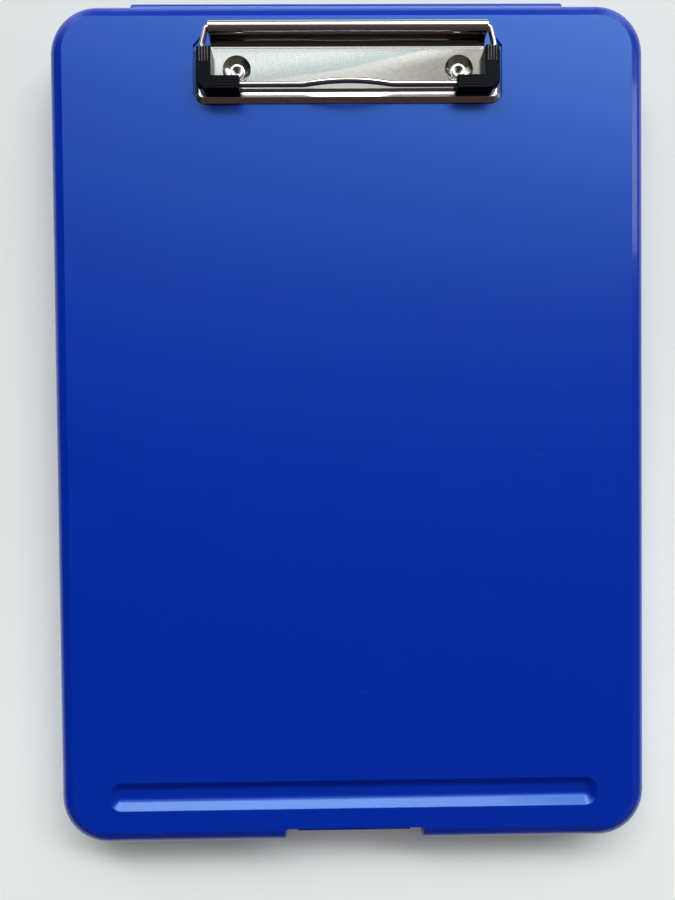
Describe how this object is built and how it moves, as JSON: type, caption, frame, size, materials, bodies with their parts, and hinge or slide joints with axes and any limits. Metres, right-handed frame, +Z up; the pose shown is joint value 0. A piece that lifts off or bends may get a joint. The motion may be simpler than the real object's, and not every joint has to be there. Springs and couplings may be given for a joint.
{
  "type": "storage clipboard",
  "caption": "Shallow A4 storage case with a hinged lid that is a writing board: low wire clip at the back, pen trough and latch at the front.",
  "frame": {"origin": "centre of the tray's flat underside, on the surface it lies on", "axes": "+X across the case, +Y from the front edge to the hinge, +Z up through the lid"},
  "size_m": [0.24, 0.3435, 0.0342],
  "materials": {
    "case_plastic": "royal blue moulded plastic, satin with a very fine grain",
    "latch_plastic": "royal blue moulded plastic, satin",
    "plated_sheet": "nickel plated pressed steel, bright with a slight haze",
    "plated_wire": "nickel plated steel wire, bright",
    "rivet_steel": "nickel plated steel, bright",
    "pin_steel": "drawn steel rod",
    "corner_rubber": "black moulded rubber, matt with a faint sheen"
  },
  "bodies": {
    "base": {"base_tray": "case_plastic", "hinge_pin": "pin_steel"},
    "lid": {"lid": "case_plastic", "clip_base_plate": "plated_sheet", "rivet_left": "rivet_steel", "rivet_right": "rivet_steel", "rivet_washer_left": "rivet_steel", "rivet_washer_right": "rivet_steel"},
    "bail": {"wire_bail": "plated_wire", "rubber_corner_left": "corner_rubber", "rubber_corner_right": "corner_rubber"},
    "latch": {"latch": "latch_plastic"}
  },
  "joints": [
    {"name": "lid_hinge", "type": "hinge", "parent": "base", "child": "lid", "pos_m": [0, 0.1713, 0.016], "axis": [-1, 0, 0], "range_deg": [0, 170]},
    {"name": "bail_hinge", "type": "hinge", "parent": "lid", "child": "bail", "pos_m": [0, 0.1553, 0.0318], "axis": [-1, 0, 0], "range_deg": [0, 75], "stiffness_Nm_per_rad": 0.1, "springref_deg": -57.3},
    {"name": "latch_pivot", "type": "hinge", "parent": "base", "child": "latch", "pos_m": [0, -0.1659, 0.007], "axis": [1, 0, 0], "range_deg": [0, 12], "stiffness_Nm_per_rad": 0.05, "springref_deg": -11.46}
  ]
}
